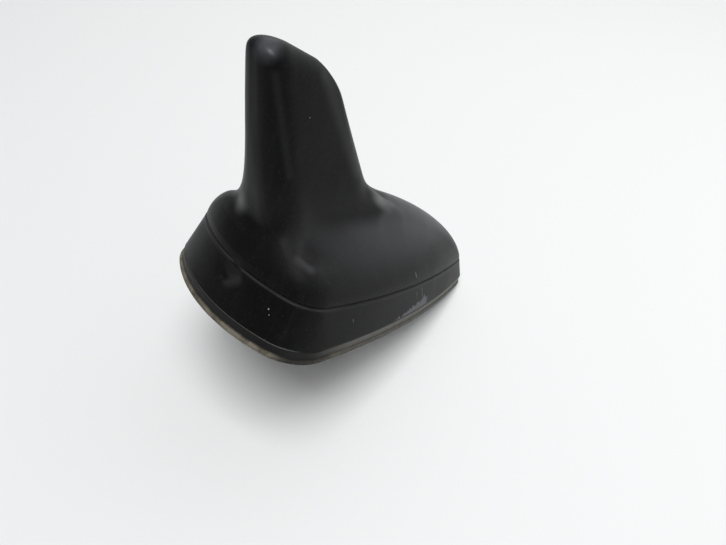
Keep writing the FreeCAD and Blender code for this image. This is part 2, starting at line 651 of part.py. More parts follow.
doc.recompute()
for obj in doc.Objects:
    bad = [s for s in obj.State if s in ("Invalid", "Error")]
    if bad:
        raise RuntimeError("%s: %s" % (obj.Name, bad))
os.makedirs("parts", exist_ok=True)
for label, obj in nodes.items():
    shape = obj.Shape
    if shape.isNull() or not shape.isValid() or shape.Volume <= 0:
        raise RuntimeError("%s has no sound shape" % label)
    obj.Label = label
    print(label, len(shape.Solids), round(shape.Volume, 1))
for label, obj in nodes.items():
    obj.Shape.exportStep("parts/%s.step" % label)
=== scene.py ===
import math
import bmesh
import bpy
import numpy as np
from mathutils import Matrix, Vector


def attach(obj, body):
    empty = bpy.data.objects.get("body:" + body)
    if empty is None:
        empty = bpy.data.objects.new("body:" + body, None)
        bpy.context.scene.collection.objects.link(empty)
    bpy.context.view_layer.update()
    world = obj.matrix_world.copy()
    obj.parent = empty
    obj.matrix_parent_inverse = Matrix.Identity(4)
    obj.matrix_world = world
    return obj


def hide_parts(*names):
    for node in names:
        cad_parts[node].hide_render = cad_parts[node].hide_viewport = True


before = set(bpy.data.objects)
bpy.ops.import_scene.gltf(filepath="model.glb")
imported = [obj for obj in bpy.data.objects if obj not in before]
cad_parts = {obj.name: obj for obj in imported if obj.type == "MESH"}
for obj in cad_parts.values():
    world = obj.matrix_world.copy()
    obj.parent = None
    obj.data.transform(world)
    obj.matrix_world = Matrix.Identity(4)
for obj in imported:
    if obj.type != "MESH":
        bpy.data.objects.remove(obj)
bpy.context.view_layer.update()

# Sizes and places are in millimetres; meshes and materials turn them into metres
MM = 0.001

# Cover, as in the part's source
BASE = dict(back=-56, front=56, wide=57.4, r_back=45.2, r_corner=14.4, r_side=298, r_nose=10.1)
FOOT = dict(back=-48.7, front=-12, wide=21, r_back=200, r_corner=8, r_side=400, r_nose=7)
TIP = dict(back=-62, front=-34.6, wide=13, r_back=120, r_corner=5, r_side=300, r_nose=3.5)
ARC_STEPS = (4, 7, 5, 3)  # round the nose, along the side, round the corner, across the rear
WALL = 2.5
SKIRT_Z = 3.7  # lower edge of the cover
SKIRT_IN = 0.5  # step in from the base outline to the skirt
GROOVE_Z = 12.6
GROOVE_FALL = 0.06  # drop of the groove for each millimetre towards the nose
GROOVE_IN = 3.2  # lean of the skirt up to the groove
GROOVE_WIDE = 0.8
FOOT_Z = 37.9
FOOT_RISE = 0.204  # rise of the fin's foot for each millimetre towards the nose
FOOT_DROP = 9.0  # drop of the foot's sides towards the front
TIP_Z = 65.6
TIP_FALL = 0.2  # drop of the fin's top for each millimetre towards the nose
CROWN = 5.2  # height of the rounded top of the fin
CROWN_FRONT = 12  # from the fin's front to the end of the crown's middle line
CROWN_BACK = 8.7  # from the fin's rear to its other end
CROWN_ANGLES = (15, 30, 45, 60, 72, 82)
# Each of these towards nose, rear and flank
DOME = (1.432, 1.4, 1.8)  # fullness of the dome
BLEND = (71.6, 79, 57)  # angle in degrees at which the dome ends and the foot begins
CLIMB = (0.173, 0.13, 0.34)  # share of the fin's height that the foot takes
DOME_STEPS = 8
FOOT_SHARES = (0.25, 0.5, 0.75)
FIN_STEPS = 6

# Rings of the dressed cover, closer together at the groove
AROUND = 400
SKIRT_SHARES = np.r_[np.linspace(0, 0.88, 24), np.linspace(0.9, 1, 15)]
CLIMBS = np.r_[np.linspace(0, 0.02, 13)[1:], np.linspace(0.0225, 1, 168)]
INNER_CLIMBS = np.linspace(0, 1, 20)
CROWN_HOLES_ABOVE = 0.05  # metres: open rings above this are filled
INSIDE = 0.002  # keeps the skin within the solid's box

# Evening out of the rear, in points of a ring
EVEN_REACH = 60
EVEN_SPREAD = 20.0
REAR_SPREAD = 30.0
REAR_CORNERS = (155, 245)
CORNER_SPREAD = 16.0
CORNER_SHARE = 0.35
EVEN_LOW = (18, 23)  # heights in millimetres over which it comes in
EVEN_HIGH = (56, 46)  # heights over which it is gone again

# Fine form of the skin: pairs are where a form is not there yet and where it is full
SHOULDER = 0.9
SHOULDER_OUT = 7.0
SHOULDER_WIDE = 3.6
SHOULDER_LOW = (20, 25)
SHOULDER_REAR = (-7, 1)
SHOULDER_FRONT = (34, 16)
LEADING = 0.85
LEADING_WIDE = 1.7
LEADING_TOP = (-19.0, 3.0, 38.6)
LEADING_END = (4.0, 6.0, 28.6)
SINK_MIDDLE = (-40.6, -15.5, 25.6)
SINKS = ((1.3, 4.9), (0.45, 2.6))  # depth and spread of a wide and a narrow hollow
KNOCK_START = (-53.6, -1.9, 10.0)
KNOCK_STOP = (-52.2, -6.9, 13.2)
KNOCK_FACING = (-0.96, -0.1, 0.256)
KNOCK_DEEP = 1.2
KNOCK_HIGH = 3.2
KNOCK_ENTRY = (-2.2, 0.2)
KNOCK_FRONT = -45
LEDGE = 0.8
LEDGE_SLOPE = 0.34
GROOVE_CUT = 0.4
GROOVE_SLOPE = 0.3
GROOVE_BEND = 0.45  # drop of the groove above the knock
BEND_Y = -3.6
BEND_WIDE = 2.2
BEND_FRONT = -40
LIP = 0.08
LIP_BELOW = 0.65
LIP_WIDE = 0.3

# Stud, as in the part's source, and its thread
STUD_R = 7.0
STUD_DOWN = 24.0
STUD_BORE = 4.75
STUD_CHAMFER = 1.0
COLLAR = 7.5  # half width of the square collar
COLLAR_R = 1.5
COLLAR_CHAMFER = 0.25
NECK_EDGE = 0.05  # last ring of the neck, close below the collar, keeps its shading crisp
PLATE_TOP = 6.0
FLANGE_R = 11.0
FLANGE = 2.0
FLANGE_CHAMFER = 0.2
PITCH = 1.5
THREAD_DEEP = 0.8
THREAD_HALF = 1 / 2.6  # half width of the thread's groove, as a share of the pitch
THREAD_LOW = 0.12  # first ring above the stud's end
THREAD_TOP = -1.6
THREAD_FADE = (-1.9, -2.7)
THREAD_RINGS = 188
STUD_AROUND = 144

# View of the photo, in metres
PHOTO_WIDE_PX = 726
FOCAL_PX = 593.67
SENSOR = 36
CAMERA_PLACE = (-0.13836, -0.10256, 0.08995)
CAMERA_AXES = Matrix(((0.6790967, 0.0863376, -0.7289537),
                      (-0.6361032, 0.5648115, -0.5257002),
                      (0.3663337, 0.8206910, 0.4384813)))
CAMERA_NEAR = 0.005
RIGHT = CAMERA_AXES.col[0].copy()
FAR = -CAMERA_AXES.col[2]

# Table and light, in metres: the part lies on its nose and on the end of the stud
LEAN = math.atan2(STUD_DOWN, BASE["front"] - (STUD_R - STUD_CHAMFER))
UP = Vector((-math.sin(LEAN), 0, math.cos(LEAN)))
TABLE_HALF = 3.0
TABLE_DROP = 0.0002
# Painted light falloff on the table: its tone runs between these two towards the right and far
TABLE_SPAN = (-0.16, 0.3)
TABLE_TONES = ((0.77, 0.775, 0.78), (0.9, 0.905, 0.9))
ROOM_TONE = (0.975, 0.99, 1.0, 1)
ROOM_DARK_WAY = (-0.985, 0.04, 0.17)
ROOM_FADE = (-0.7, 0.9, 1.1, 0.1)
LAMP_AIM = Vector((-0.01, 0, 0))
LAMP_AWAY = 1.7
LAMP_SIZE = 0.9
LAMP_WATTS = 24.8


# Shape helpers
def ramp(value, start, stop):
    """None at the start, one at the stop, even between them."""
    return np.clip((value - start) / (stop - start), 0, 1)


def bell(value, spread):
    return np.exp(-(value / spread) ** 2)


def on_side(point, side):
    """A point given on the left, on the left for 1 and mirrored to the right for -1."""
    return (point[0], point[1] * side, point[2])


def near_line(grid, start, stop):
    """Share of the way along the line between two points, and the distance from it."""
    start = np.array(start, float)
    run = np.array(stop, float) - start
    part = np.clip(((grid - start) @ run) / (run @ run), 0, 1)
    return part, np.linalg.norm(grid - (start + part[..., None] * run), axis=2)


def linked(name, bm):
    """A new object in the scene, from a finished bmesh."""
    mesh = bpy.data.meshes.new(name)
    bm.to_mesh(mesh)
    bm.free()
    obj = bpy.data.objects.new(name, mesh)
    bpy.context.collection.objects.link(obj)
    return obj


def rolled(name, rows, node, closed_above=None):
    """A flat grid rolled up so that each of its rows lies on one ring of points."""
    bm = bmesh.new()
    turns, climbs = len(rows[0]), len(rows) - 1
    bmesh.ops.create_grid(bm, x_segments=turns, y_segments=climbs, size=0.5)
    for vert in bm.verts:
        column = round((vert.co.x + 0.5) * turns) % turns
        row = round((vert.co.y + 0.5) * climbs)
        vert.co = rows[row][column] * MM
    bmesh.ops.remove_doubles(bm, verts=bm.verts, dist=1e-7)
    if closed_above is not None:
        open_edges = [e for e in bm.edges if e.is_boundary and e.verts[0].co.z > closed_above]
        bmesh.ops.edgeloop_fill(bm, edges=open_edges)
    for face in bm.faces:
        face.smooth = True
    bmesh.ops.recalc_face_normals(bm, faces=bm.faces)
    obj = linked(name, bm)
    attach(obj, "root")
    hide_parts(node)
    return obj


# Cover skin
def outline(back, front, wide, r_back, r_corner, r_side, r_nose, inset):
    """Closed plan outline of tangent arcs, moved in by the inset."""
    rear = np.array([back + r_back, 0.0])
    off = wide / 2 - r_corner
    corner = np.array([rear[0] - math.sqrt((r_back - r_corner) ** 2 - off ** 2), off])
    nose = np.array([front - r_nose, 0.0])
    span = nose - corner
    length = np.hypot(*span)
    to_corner, to_nose = r_side - r_corner, r_side - r_nose
    along = (to_corner ** 2 - to_nose ** 2 + length ** 2) / (2 * length)
    aside = math.sqrt(to_corner ** 2 - along ** 2)
    flat = span / length
    side = corner + flat * along + np.array([flat[1], -flat[0]]) * aside
    turns = [0.0]
    for far, near in ((nose, side), (corner, side), (corner, rear)):
        turns.append(math.atan2(far[1] - near[1], far[0] - near[0]))
    turns.append(math.pi)
    middles = (nose, side, corner, rear)
    radii = (r_nose, r_side, r_corner, r_back)
    half = []
    for k, count in enumerate(ARC_STEPS):
        for step in range(count):
            turn = turns[k] + (turns[k + 1] - turns[k]) * step / count
            half.append(middles[k] + np.array([math.cos(turn), math.sin(turn)]) * (radii[k] - inset))
    half.append(rear + np.array([inset - r_back, 0.0]))
    half = np.array(half)
    return np.vstack([half, half[-2:0:-1] * [1, -1]])


def stations(inset):
    """Control net of the cover skin: its lower edge, and rows from the groove to the crown."""
    rim = outline(**BASE, inset=SKIRT_IN + GROOVE_IN + inset)
    rim = np.c_[rim, GROOVE_Z - GROOVE_FALL * rim[:, 0]]
    outer_foot = outline(**FOOT, inset=0)
    ahead = (outer_foot[:, 0] - FOOT["back"]) / (FOOT["front"] - FOOT["back"])
    sag = FOOT_DROP * (2 * outer_foot[:, 1] / FOOT["wide"]) ** 2 * ahead * (2 - ahead)
    foot = outline(**FOOT, inset=inset)
    foot = np.c_[foot, FOOT_Z - inset + FOOT_RISE * foot[:, 0] - sag]
    top = outline(**TIP, inset=inset)
    top = np.c_[top, TIP_Z - inset - TIP_FALL * (top[:, 0] - TIP["back"])]
    spread = rim - foot
    lengthwise = spread[:, 0] ** 2 / (spread[:, 0] ** 2 + spread[:, 1] ** 2)

    def between(nose, rear, flank):
        ends = np.where(spread[:, 0] > 0, nose, rear)
        return ends * lengthwise + flank * (1 - lengthwise)

    power = 2 / between(*DOME)
    rows = []
    for step in range(DOME_STEPS + 1):
        angle = np.radians(between(*BLEND)) * step / DOME_STEPS
        run = 1 - np.cos(angle) ** power
        rise = np.sin(angle) ** power
        rows.append(np.c_[rim[:, :2] - spread[:, :2] * run[:, None], rim[:, 2] - spread[:, 2] * rise])
    leave = rows[-1]
    arrive = foot + (top - foot) * between(*CLIMB)[:, None]
    for share in FOOT_SHARES:
        rest = 1 - share
        rows.append(leave * rest ** 2 + foot * 2 * share * rest + arrive * share ** 2)
    for step in range(FIN_STEPS + 1):
        rows.append(arrive + (top - arrive) * step / FIN_STEPS)
    spine = np.clip(top[:, 0], TIP["back"] + CROWN_BACK, TIP["front"] - CROWN_FRONT)
    for angle in CROWN_ANGLES:
        inward, upward = math.cos(math.radians(angle)), math.sin(math.radians(angle))
        lean = (top - foot) * (CROWN * upward * inward / (top[:, 2] - foot[:, 2]))[:, None]
        x = spine + (top[:, 0] - spine) * inward + lean[:, 0]
        y = top[:, 1] * inward + lean[:, 1]
        z = TIP_Z - inset - TIP_FALL * (x - TIP["back"]) + CROWN * upward
        rows.append(np.c_[x, y, z])
    edge = outline(**BASE, inset=SKIRT_IN + inset)
    return np.c_[edge, np.full(len(edge), SKIRT_Z)], np.array(rows)


def ring_weights(count):
    """Share of each control point in each point of a closed smooth ring."""
    weights = np.zeros((AROUND, count))
    for k in range(AROUND):
        place = k * count / AROUND
        first = int(place)
        t = place - first
        four = ((1 - t) ** 3, 3 * t ** 3 - 6 * t * t + 4, -3 * t ** 3 + 3 * t * t + 3 * t + 1, t ** 3)
        for j, share in enumerate(four):
            weights[k, (first + j - 1) % count] += share / 6
    return weights


def climb_weights(count, climbs):
    """Share of each row of control points at each climb: 0 at the groove, 1 at the crown."""
    knots = np.r_[[0.0] * 3, np.linspace(0, 1, count - 2), [1.0] * 3]
    weights = np.zeros((len(climbs), count))
    for k, climb in enumerate(climbs):
        t = min(climb, 1 - 1e-9)
        shares = [1.0 if low <= t < high else 0.0 for low, high in zip(knots, knots[1:])]
        for degree in (1, 2, 3):
            raised = []
            for i in range(len(shares) - 1):
                share = 0.0
                rising = knots[i + degree] - knots[i]
                falling = knots[i + degree + 1] - knots[i + 1]
                if rising > 0:
                    share += (t - knots[i]) / rising * shares[i]
                if falling > 0:
                    share += (knots[i + degree + 1] - t) / falling * shares[i + 1]
                raised.append(share)
            shares = raised
        weights[k] = shares
    return weights


def skin(inset, skirt_shares, climbs):
    """Rings of the smooth cover skin moved in by the inset, from its lower edge to the crown."""
    edge, rows = stations(inset)
    weights = ring_weights(len(edge))
    low, rim = weights @ edge, weights @ rows[0]
    skirt = np.array([low + (rim - low) * share for share in skirt_shares])
    dome = np.einsum("vr,rpc->vpc", climb_weights(len(rows), climbs), rows)
    return np.concatenate([skirt, np.einsum("up,vpc->vuc", weights, dome)])


def normals(grid):
    """Outward directions at the points of the rings."""
    around = np.roll(grid, -1, 1) - np.roll(grid, 1, 1)
    upward = np.gradient(grid, axis=0)
    out = np.cross(around, upward)
    return out / np.maximum(np.linalg.norm(out, axis=2), 1e-9)[..., None]


def evened_rear(grid):
    """The skin with its rear evened out between the groove and the upper fin."""
    offsets = np.arange(-EVEN_REACH, EVEN_REACH + 1)
    kernel = bell(offsets, EVEN_SPREAD)
    kernel /= kernel.sum()
    even = sum(part * np.roll(grid, offset, 1) for offset, part in zip(offsets, kernel))
    columns = np.arange(AROUND)
    share = bell(columns - AROUND / 2, REAR_SPREAD)
    for corner in REAR_CORNERS:
        share = np.maximum(share, CORNER_SHARE * bell(columns - corner, CORNER_SPREAD))
    z = grid[..., 2]
    share = share * ramp(z, *EVEN_LOW) * ramp(z, *EVEN_HIGH)
    return grid + share[..., None] * (even - grid)


def shoulders(grid):
    """Fuller shoulders on the nose."""
    x, y, z = np.moveaxis(grid, 2, 0)
    across = bell(np.abs(y) - SHOULDER_OUT, SHOULDER_WIDE) * ramp(z, *SHOULDER_LOW)
    return SHOULDER * across * ramp(x, *SHOULDER_REAR) * ramp(x, *SHOULDER_FRONT)


def leading_edge(grid):
    """The end of the leading edge, standing a little proud on both sides."""
    rise = np.zeros(grid.shape[:2])
    for side in (-1, 1):
        part, away = near_line(grid, on_side(LEADING_TOP, side), on_side(LEADING_END, side))
        rise += LEADING * np.sin(math.pi * part) ** 2 * bell(away, LEADING_WIDE)
    return rise


def sink_mark(grid):
    """Sink mark on the near flank."""
    away = np.linalg.norm(grid - np.array(SINK_MIDDLE), axis=2)
    return -sum(depth * bell(away, spread) for depth, spread in SINKS)


def knock(grid):
    """Knock in the rear skirt: a slanting ledge below, running out towards the groove above."""
    start = np.array(KNOCK_START)
    way = np.array(KNOCK_STOP) - start
    run = np.linalg.norm(way)
    across = np.cross(way / run, KNOCK_FACING)
    across *= np.sign(across[2]) / np.linalg.norm(across)
    along, above = (grid - start) @ (way / run), (grid - start) @ across
    ledge = LEDGE + LEDGE_SLOPE * np.clip(along, 0, run)
    fall = np.where(above < 0, ramp(above, -ledge, 0), bell(above, KNOCK_HIGH))
    fall = fall * ramp(along, *KNOCK_ENTRY) * ramp(along, run + LEDGE, LEDGE)
    return -KNOCK_DEEP * fall * (grid[..., 0] < KNOCK_FRONT)


def groove(grid):
    """Groove round the base, its lower lip a little proud, bent where the skirt is knocked in."""
    x, y, z = np.moveaxis(grid, 2, 0)
    bend = GROOVE_BEND * bell(y - BEND_Y, BEND_WIDE) * (x < BEND_FRONT)
    off = z - (GROOVE_Z - GROOVE_FALL * x) + bend
    half = GROOVE_WIDE / 2
    return LIP * bell(off + LIP_BELOW, LIP_WIDE) - GROOVE_CUT * ramp(np.abs(off), half, half - GROOVE_SLOPE)


def cover_shell():
    """The moulding: dressed skin outside, and the same skin moved in by the wall inside."""
    grid = evened_rear(skin(0.0, SKIRT_SHARES, CLIMBS))
    push = shoulders(grid) + leading_edge(grid) + sink_mark(grid) + knock(grid) + groove(grid) - INSIDE
    outside = grid + normals(grid) * push[..., None]
    inside = skin(WALL, [0.0], INNER_CLIMBS)
    rows = np.concatenate([inside[::-1], outside])
    return rolled("cover_shell", rows, "cover", CROWN_HOLES_ABOVE)


# Stud with its rolled thread, square collar and flange
TURN = np.arange(STUD_AROUND) * 2 * math.pi / STUD_AROUND


def ring(radius, z):
    return np.c_[np.cos(TURN) * radius, np.sin(TURN) * radius, np.full(STUD_AROUND, z)]


def square_radius():
    """Distance from the axis to the edge of the rounded square, in every direction."""
    c, s = np.abs(np.cos(TURN)), np.abs(np.sin(TURN))
    flat = COLLAR / np.maximum(c, s)
    middle = COLLAR - COLLAR_R
    part = middle * (c + s)
    root = np.maximum(part * part - (2 * middle * middle - COLLAR_R ** 2), 0)
    in_corner = flat * np.minimum(c, s) > middle
    return np.where(in_corner, part + np.sqrt(root), flat)


def stud_threaded():
    end_r = STUD_R - STUD_CHAMFER
    rows = [ring(STUD_BORE, -STUD_DOWN), ring(end_r, -STUD_DOWN)]
    for z in np.linspace(-STUD_DOWN + THREAD_LOW, THREAD_TOP, THREAD_RINGS):
        wave = (z / PITCH - TURN / (2 * math.pi)) % 1.0
        depth = THREAD_DEEP * ramp(np.abs(wave - 0.5), THREAD_HALF, 0) * ramp(z, *THREAD_FADE)
        chamfer = min(end_r + (z + STUD_DOWN), STUD_R)
        rows.append(ring(np.minimum(STUD_R - depth, chamfer), z))
    square = square_radius()
    top = PLATE_TOP + FLANGE
    for radius, z in ((STUD_R, -NECK_EDGE), (STUD_R, 0.0),
                      (square - COLLAR_CHAMFER, 0.0), (square, COLLAR_CHAMFER), (square, PLATE_TOP),
                      (FLANGE_R - FLANGE_CHAMFER, PLATE_TOP), (FLANGE_R, PLATE_TOP + FLANGE_CHAMFER),
                      (FLANGE_R, top - FLANGE_CHAMFER), (FLANGE_R - FLANGE_CHAMFER, top),
                      (STUD_BORE, top), (STUD_BORE, -STUD_DOWN)):
        rows.append(ring(radius, z))
    return rolled("stud_threaded", rows, "mounting_stud")


# Materials
class Graph:
    """Short way to build one node material in object coordinates."""

    def __init__(self, name):
        self.mat = bpy.data.materials.new(name)
        self.mat.use_nodes = True
        self.tree = self.mat.node_tree
        self.shader = self.tree.nodes["Principled BSDF"]
        self.place = self.add("ShaderNodeTexCoord").outputs["Object"]
        axes = self.add("ShaderNodeSeparateXYZ")
        self.put(axes.inputs[0], self.place)
        self.x, self.y, self.z = axes.outputs

    def add(self, kind, **settings):
        node = self.tree.nodes.new(kind)
        for key, value in settings.items():
            setattr(node, key, value)
        return node

    def put(self, socket, value):
        if isinstance(value, bpy.types.NodeSocket):
            self.tree.links.new(value, socket)
        elif isinstance(value, tuple) and len(value) == 3 and socket.type == "RGBA":
            socket.default_value = (*value, 1.0)
        else:
            socket.default_value = value

    def math(self, how, a, b, clamp=False):
        node = self.add("ShaderNodeMath", operation=how, use_clamp=clamp)
        self.put(node.inputs[0], a)
        self.put(node.inputs[1], b)
        return node.outputs[0]

    def times(self, first, *others):
        for other in others:
            first = self.math("MULTIPLY", first, other)
        return first

    def total(self, first, *others):
        for other in others:
            first = self.math("ADD", first, other)
        return first

    def most(self, first, *others):
        for other in others:
            first = self.math("MAXIMUM", first, other)
        return first

    def less(self, a, b):
        return self.math("SUBTRACT", a, b)

    def vec(self, how, a, b):
        node = self.add("ShaderNodeVectorMath", operation=how)
        self.put(node.inputs[0], a)
        self.put(node.inputs[1], b)
        return node.outputs["Value" if how in ("DOT_PRODUCT", "DISTANCE") else "Vector"]

    def span(self, value, start, stop, low=0.0, high=1.0):
        node = self.add("ShaderNodeMapRange", interpolation_type="SMOOTHSTEP")
        for socket, item in zip(node.inputs, (value, start, stop, low, high)):
            self.put(socket, item)
        return node.outputs[0]

    def fade(self, length, start, stop, low=0.0, high=1.0):
        """A span whose start and stop are in millimetres."""
        return self.span(length, start * MM, stop * MM, low, high)

    def noise(self, scale, detail=3.0, stretch=None):
        node = self.add("ShaderNodeTexNoise")
        place = self.place if stretch is None else self.vec("MULTIPLY", self.place, stretch)
        self.put(node.inputs["Vector"], place)
        self.put(node.inputs["Scale"], float(scale))
        self.put(node.inputs["Detail"], detail)
        return node.outputs[0]

    def mix(self, factor, a, b):
        node = self.add("ShaderNodeMix", data_type="RGBA")
        self.put(node.inputs[0], factor)
        self.put(node.inputs[6], a)
        self.put(node.inputs[7], b)
        return node.outputs[2]

    def blend(self, factor, a, b):
        node = self.add("ShaderNodeMix", data_type="FLOAT")
        self.put(node.inputs[0], factor)
        self.put(node.inputs[2], a)
        self.put(node.inputs[3], b)
        return node.outputs[0]

    def spot(self, middle, reach, soft=0.5):
        """One inside a ball given in millimetres, fading to none at its edge."""
        away = self.vec("DISTANCE", self.place, tuple(c * MM for c in middle))
        return self.fade(away, reach, reach * (1 - soft))

    def line(self, start, stop, reach, soft=0.7):
        """One along the line between two points in millimetres, fading to none beside it."""
        start = Vector(start) * MM
        run = Vector(stop) * MM - start
        local = self.vec("SUBTRACT", self.place, tuple(start))
        along = self.vec("DOT_PRODUCT", local, tuple(run))
        part = self.math("DIVIDE", along, run.length_squared, clamp=True)
        nearest = self.add("ShaderNodeVectorMath", operation="SCALE")
        self.put(nearest.inputs[0], tuple(run))
        self.put(nearest.inputs["Scale"], part)
        away = self.vec("DISTANCE", local, nearest.outputs["Vector"])
        return self.fade(away, reach, reach * (1 - soft))

    def bump(self, height, strength, distance, under=None):
        node = self.add("ShaderNodeBump")
        self.put(node.inputs["Strength"], strength)
        self.put(node.inputs["Distance"], distance)
        self.put(node.inputs["Height"], height)
        if under is not None:
            self.put(node.inputs["Normal"], under)
        return node.outputs[0]

    def coats(self, color, layers):
        """The colour under layers of a share and a tone each, from the lowest up."""
        for share, tone in layers:
            color = self.mix(share, color, tone)
        return color

    def finish(self, color, rough, metal=0.0, spec=0.5, normal=None):
        for key, value in (("Base Color", color), ("Roughness", rough), ("Metallic", metal),
                           ("Specular IOR Level", spec)):
            self.put(self.shader.inputs[key], value)
        if normal is not None:
            self.put(self.shader.inputs["Normal"], normal)
        return self.mat


# Shares of the finishes and of the painted highlights, sheen and shade on the cover: each is one where it
# is full
def streaks(g):
    upright = (420.0, 420.0, 26.0)
    return g.span(g.noise(1.0, 3.0, upright), 0.5, 0.72)


def nose_haze_and_sheen(g):
    """Weathered towards the nose, with a painted sheen there too, up to a ceiling below the fin's foot."""
    ceiling = g.fade(g.x, -12, 2, 27.5 * MM, 36 * MM)
    below = g.fade(g.less(g.z, ceiling), 4, -1)
    return g.times(g.fade(g.x, -50, 12), g.fade(g.z, 16, 28), below)


def sink_highlight_ring(g):
    """Painted highlight in a ring round the sink mark."""
    around = g.spot((-41.0, -14.8, 26.2), reach=11.0, soft=1.0)
    within = g.spot((-39.6, -15.0, 25.7), reach=4.5, soft=1.0)
    return g.math("MULTIPLY", g.less(around, within), 0.8, clamp=True)


def sink_rim_highlight(g):
    # Painted highlight on the lower rim of the sink mark
    low, high = (-44.9, -16.8, 25.0), (-42.6, -19.0, 23.9)
    return g.times(g.line(low, high, reach=2.4, soft=1.0), 0.75)


def foot_highlights(g):
    """Painted highlights in the hollows at both ends of the fin's foot."""
    pale_coat = g.times(g.spot((-49.6, 5.2, 28.4), reach=5.0, soft=1.0), 0.9)
    start, middle, stop = (-15.5, 3.4, 36.9), (-8.4, 4.2, 33.4), (-2.0, 5.2, 30.6)
    for side in (-1, 1):
        hollow = g.line(on_side(start, side), on_side(stop, side), reach=3.4, soft=0.9)
        near = g.spot(on_side(middle, side), reach=9.0, soft=1.0)
        pale_coat = g.most(pale_coat, g.times(hollow, near))
    patchy = g.span(g.noise(160, 2.0), 0.25, 0.7, low=0.7)
    return g.times(g.math("POWER", pale_coat, 1.6), patchy)


def back_edge_highlight(g, side):
    """Rear edge of the fin on one side, with a painted highlight."""
    top, foot = (-59.4, 5.5, 63.5), (-49.2, 8.4, 42.5)
    return g.times(g.line(on_side(top, side), on_side(foot, side), reach=1.5, soft=1.0), 0.6)


def front_edge_highlight(g, side):
    """Front edge of the fin on one side, with a painted highlight."""
    top, foot = (-44.0, 3.2, 64.6), (-24.0, 4.6, 43.0)
    return g.times(g.line(on_side(top, side), on_side(foot, side), reach=3.4, soft=1.0), 0.8)


def tip_wear_and_highlight(g):
    # Worn tip of the fin, with a painted highlight on it
    patchy = g.span(g.noise(220, 4.0), 0.2, 0.75, low=0.35)
    return g.times(g.spot((-61.2, -2.2, 68.1), reach=4.6, soft=0.85), patchy)


def groove_lip_highlight(g):
    """Lower lip of the groove, a painted highlight where it faces up, more so at the rear."""
    level = g.total(g.z, g.times(g.x, GROOVE_FALL), -GROOVE_Z * MM)
    rear = g.span(g.fade(g.x, -24, -44), 0.0, 1.0, low=0.12, high=0.5)
    patchy = g.span(g.noise(240, 3.0), 0.3, 0.6, low=0.6)
    return g.times(g.fade(level, -0.75, -0.5), g.fade(level, -0.1, -0.3), rear, patchy)


def scuffs(g):
    """Scuffs on the near side of the skirt."""
    marks = 0.0
    for start, stop, reach in (((11.2, -18.0, 11.0), (12.9, -19.0, 6.2), 0.24),
                               ((5.4, -17.0, 16.2), (6.2, -17.6, 14.6), 0.3),
                               ((7.6, -17.2, 15.4), (8.2, -17.8, 13.8), 0.25),
                               ((7.4, -18.9, 11.4), (8.8, -19.7, 7.4), 0.2),
                               ((-26.5, -25.3, 9.7), (-26.2, -25.5, 9.1), 0.3)):
        marks = g.most(marks, g.line(start, stop, reach))
    return g.times(marks, g.span(g.noise(900, 2.0), 0.3, 0.55))


def knock_ledge_highlight(g):
    """Painted highlight on the ledge of the knocked-in skirt."""
    low, high = (-53.0, -4.0, 10.6), (-52.3, -6.2, 12.4)
    return g.times(g.line(low, high, reach=2.6, soft=1.0), 0.6)


def rubbed_strip(g):
    """Rubbed patch above the joint on the near side, its upper edge stepped."""
    steps = g.times(g.less(g.noise(520, 1.0, (1.0, 1.0, 0.1)), 0.5), 3.4 * MM)
    top = g.fade(g.x, -5, 17.5, 4.2 * MM, 6.6 * MM)
    below = g.fade(g.less(g.total(g.z, steps), top), 0.3, -0.1)
    ends = g.times(g.fade(g.x, 17.5, 15.5), g.fade(g.x, -6, -2))
    return g.times(below, ends, g.fade(g.y, -8, -12), g.fade(g.z, 4.0, 4.2), 0.62)


def specks(g):
    dots = 0.0
    for middle, reach in (((-49.68, -17.25, 11.1), 0.24), ((-49.67, -18.07, 9.9), 0.16),
                          ((-49.2, -18.6, 9.5), 0.13), ((-47.4, -6.48, 56.08), 0.15),
                          ((-39.5, -7.9, 38.0), 0.14), ((-30.5, -8.4, 36.8), 0.14),
                          ((-12.6, -22.2, 9.0), 0.16)):
        dots = g.most(dots, g.spot(middle, reach, soft=0.4))
    return dots


# Some of these tones are painted light: the nose and tip tones are partly painted sheen and highlight over
# weathering and wear, the joint tone is painted shade, and the tones of the sink mark, the fin's foot and
# edges, the groove's lip, the rear of the hem and the knock's ledge are painted highlights
COVER_TONES = {
    "moulding": (0.0044, 0.0045, 0.0049), "haze": (0.008, 0.008, 0.0086),
    "streaks": (0.014, 0.014, 0.0145), "nose": (0.055, 0.056, 0.06),
    "sink_highlight_ring": (0.02, 0.02, 0.021), "sink_rim_highlight": (0.05, 0.05, 0.052),
    "foot_highlights": (0.15, 0.151, 0.152), "back_edge_highlight": (0.016, 0.016, 0.016),
    "front_edge_highlight": (0.026, 0.026, 0.027), "tip_wear_and_highlight": (0.062, 0.066, 0.074),
    "groove_lip_highlight": (0.045, 0.045, 0.043), "joint": (0.0008, 0.0008, 0.0008),
    "hem_highlight": (0.14, 0.14, 0.13), "scuffs": (0.16, 0.16, 0.165),
    "knock": (0.03, 0.03, 0.03), "rubbed": (0.13, 0.13, 0.14),
    "fine_dust": (0.03, 0.03, 0.03), "specks": (0.3, 0.29, 0.27),
}


